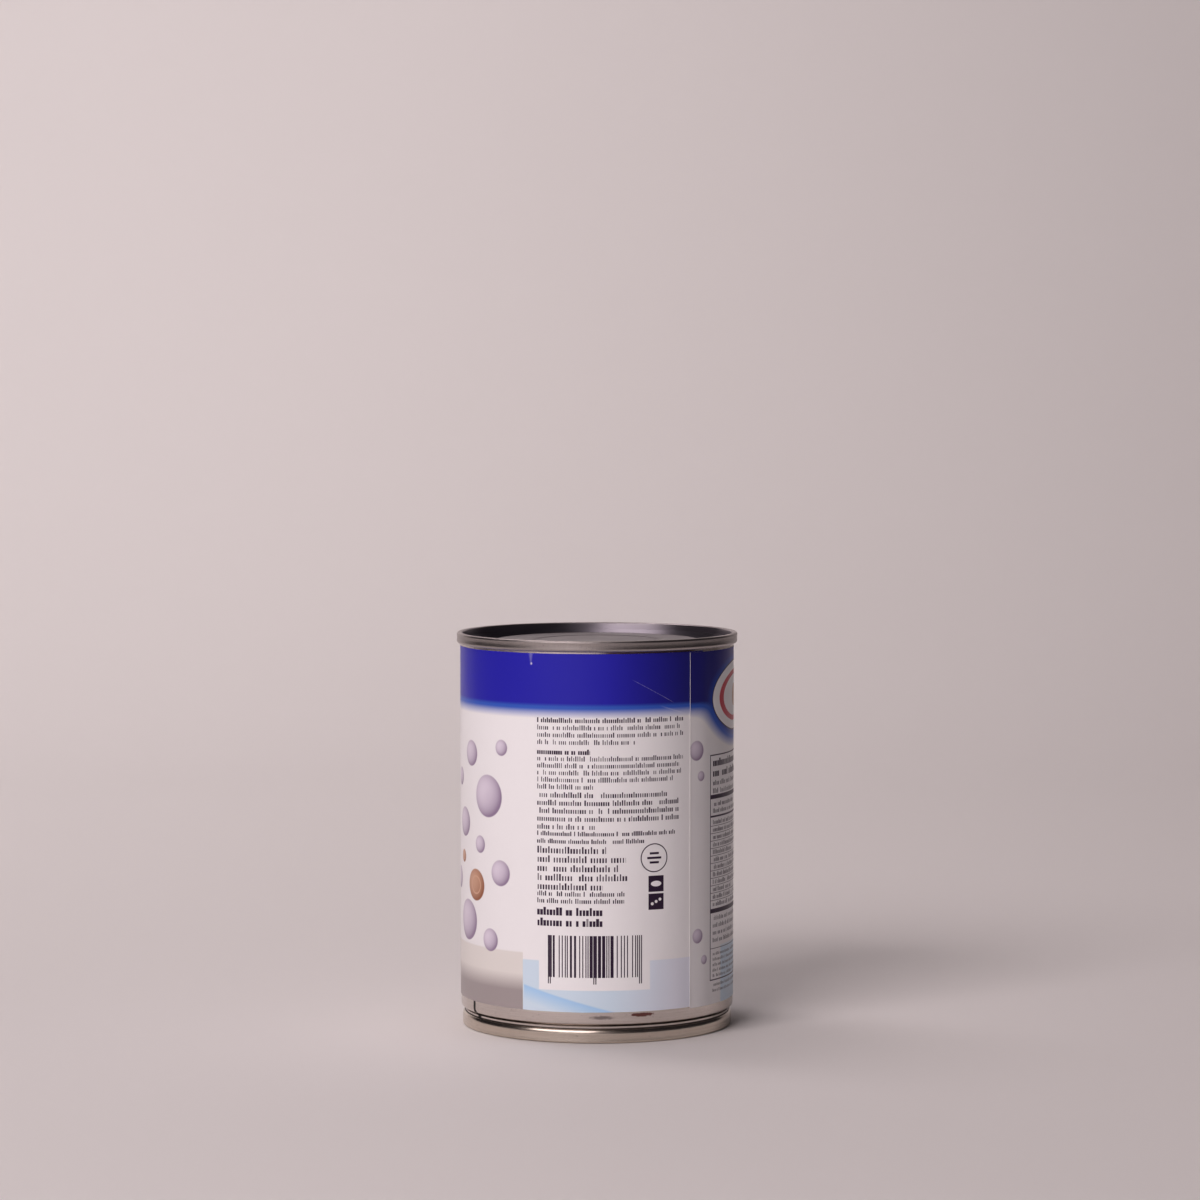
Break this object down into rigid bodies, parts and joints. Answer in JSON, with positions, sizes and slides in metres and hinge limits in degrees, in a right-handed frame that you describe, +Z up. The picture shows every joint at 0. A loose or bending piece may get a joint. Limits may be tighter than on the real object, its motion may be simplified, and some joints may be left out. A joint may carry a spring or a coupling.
{
  "type": "evaporated milk can",
  "caption": "Shut round tinplate food can with double-seamed ends, necked in at the foot to stack, wrapped in a printed paper label that laps over itself.",
  "frame": {"origin": "centre of the ring that the can stands on, on the floor", "axes": "+Z up along the can's axis; -Y is the front that the picture shows; +X is to the right seen from the front"},
  "size_m": [0.0752, 0.0752, 0.1053],
  "materials": {
    "body_tinplate": "bright tinplate with a faint drawn grain, slightly warm, with a dark weld line down the side",
    "end_tinplate": "satin tinplate, a little darker on the seam, with small handling marks",
    "label_paper": "varnished printed paper with a soft gloss: a dark blue band over a pale ground"
  },
  "bodies": {
    "root": {"can_body": "body_tinplate", "top_end": "end_tinplate", "bottom_end": "end_tinplate", "label": "label_paper"}
  },
  "joints": []
}
